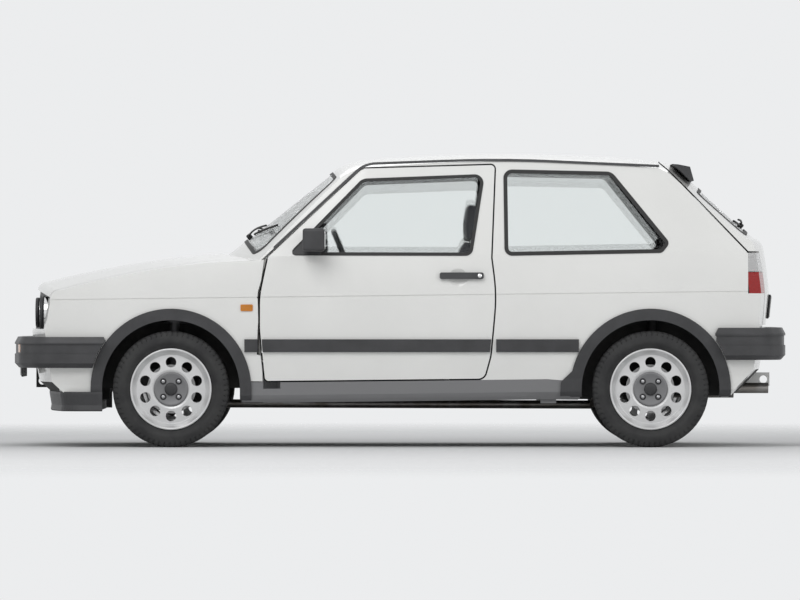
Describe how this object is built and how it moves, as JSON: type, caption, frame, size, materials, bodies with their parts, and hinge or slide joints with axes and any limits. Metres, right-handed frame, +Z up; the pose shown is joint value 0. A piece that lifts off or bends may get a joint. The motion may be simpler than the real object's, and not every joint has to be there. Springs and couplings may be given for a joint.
{
  "type": "three-door hatchback car",
  "caption": "Compact three-door hatchback car with opening doors, bonnet and tailgate, rolling and steering wheels and a hollow cabin with seats.",
  "frame": {"origin": "on the ground midway along the length, on the middle plane", "axes": "+X to the rear, +Y to the car's right, +Z up"},
  "size_m": [3.985, 1.93, 1.5125],
  "materials": {
    "body_paint": "gloss white paint",
    "clear_glass": "clear",
    "seal_rubber": "matt",
    "black_plastic": "grained satin",
    "lamp_glass": "clear",
    "amber_lens": "gloss",
    "red_lens": "gloss",
    "under_paint": "dull black",
    "cast_metal": "as cast",
    "pipe_steel": "dull",
    "seat_cloth": "woven",
    "wheel_alloy": "painted silver",
    "tyre_rubber": "matt"
  },
  "bodies": {
    "body": {"body_side_right": "body_paint", "body_side_left": "body_paint", "screen_frame": "body_paint", "roof_panel": "body_paint", "rear_panel": "body_paint", "fender_right": "body_paint", "fender_left": "body_paint", "front_panel": "body_paint", "windscreen": "clear_glass", "window_seals": "seal_rubber", "quarter_glass": "clear_glass", "grille": "black_plastic", "headlamps": "lamp_glass", "front_bumper": "black_plastic", "rear_bumper": "black_plastic", "indicators": "amber_lens", "tail_lamps": "red_lens", "front_spoiler": "black_plastic", "arch_trims": "black_plastic", "side_trims": "black_plastic", "floor_pan": "under_paint", "front_rails": "under_paint", "wheelhouses": "under_paint", "engine": "cast_metal", "subframe": "under_paint", "exhaust": "pipe_steel", "rear_axle": "under_paint", "front_seats": "seat_cloth", "rear_seat": "seat_cloth", "dashboard": "black_plastic"},
    "bonnet": {"bonnet": "body_paint"},
    "hatch": {"hatch_panel": "body_paint", "hatch_glass": "clear_glass", "hatch_seal": "seal_rubber", "hatch_spoiler": "black_plastic"},
    "steering_wheel": {"steering_wheel": "black_plastic"},
    "door_right": {"door_panel_right": "body_paint", "door_glass_right": "clear_glass", "door_seal_right": "seal_rubber", "door_fittings_right": "black_plastic"},
    "knuckle_right": {"knuckle_right": "cast_metal"},
    "door_left": {"door_panel_left": "body_paint", "door_glass_left": "clear_glass", "door_seal_left": "seal_rubber", "door_fittings_left": "black_plastic"},
    "knuckle_left": {"knuckle_left": "cast_metal"},
    "wheel_front_right": {"wheel_front_right": "wheel_alloy", "tyre_front_right": "tyre_rubber"},
    "wheel_front_left": {"wheel_front_left": "wheel_alloy", "tyre_front_left": "tyre_rubber"},
    "wheel_rear_right": {"wheel_rear_right": "wheel_alloy", "tyre_rear_right": "tyre_rubber"},
    "wheel_rear_left": {"wheel_rear_left": "wheel_alloy", "tyre_rear_left": "tyre_rubber"}
  },
  "joints": [
    {"name": "door_right_hinge", "type": "hinge", "parent": "body", "child": "door_right", "pos_m": [-0.677, 0.785, 0.6], "axis": [0, 0, 1], "range_deg": [0, 68]},
    {"name": "door_left_hinge", "type": "hinge", "parent": "body", "child": "door_left", "pos_m": [-0.677, -0.785, 0.6], "axis": [0, 0, -1], "range_deg": [0, 68]},
    {"name": "bonnet_hinge", "type": "hinge", "parent": "body", "child": "bonnet", "pos_m": [-0.765, 0, 0.985], "axis": [0, 1, 0], "range_deg": [0, 55]},
    {"name": "hatch_hinge", "type": "hinge", "parent": "body", "child": "hatch", "pos_m": [1.343, 0, 1.476], "axis": [0, -1, 0], "range_deg": [0, 80]},
    {"name": "steer_right", "type": "hinge", "parent": "body", "child": "knuckle_right", "pos_m": [-1.1725, 0.655, 0.2], "axis": [0.034, -0.1467, 0.9886], "range_deg": [-32, 32]},
    {"name": "steer_left", "type": "hinge", "parent": "body", "child": "knuckle_left", "pos_m": [-1.1725, -0.655, 0.2], "axis": [0.034, 0.1467, 0.9886], "range_deg": [-32, 32]},
    {"name": "steering_wheel_turn", "type": "hinge", "parent": "body", "child": "steering_wheel", "pos_m": [-0.275, -0.36, 0.949], "axis": [0.9205, 0, 0.3907], "range_deg": [-512, 512]},
    {"name": "front_right_spin", "type": "hinge", "parent": "knuckle_right", "child": "wheel_front_right", "pos_m": [-1.1725, 0.712, 0.29775], "axis": [0, 1, 0], "continuous": true},
    {"name": "front_left_spin", "type": "hinge", "parent": "knuckle_left", "child": "wheel_front_left", "pos_m": [-1.1725, -0.712, 0.29775], "axis": [0, 1, 0], "continuous": true},
    {"name": "rear_right_spin", "type": "hinge", "parent": "body", "child": "wheel_rear_right", "pos_m": [1.2825, 0.712, 0.29775], "axis": [0, 1, 0], "continuous": true},
    {"name": "rear_left_spin", "type": "hinge", "parent": "body", "child": "wheel_rear_left", "pos_m": [1.2825, -0.712, 0.29775], "axis": [0, 1, 0], "continuous": true}
  ],
  "couplings": [
    {"joint": "steer_right", "follows": "steer_left", "ratio": 1},
    {"joint": "steering_wheel_turn", "follows": "steer_left", "ratio": 16}
  ]
}
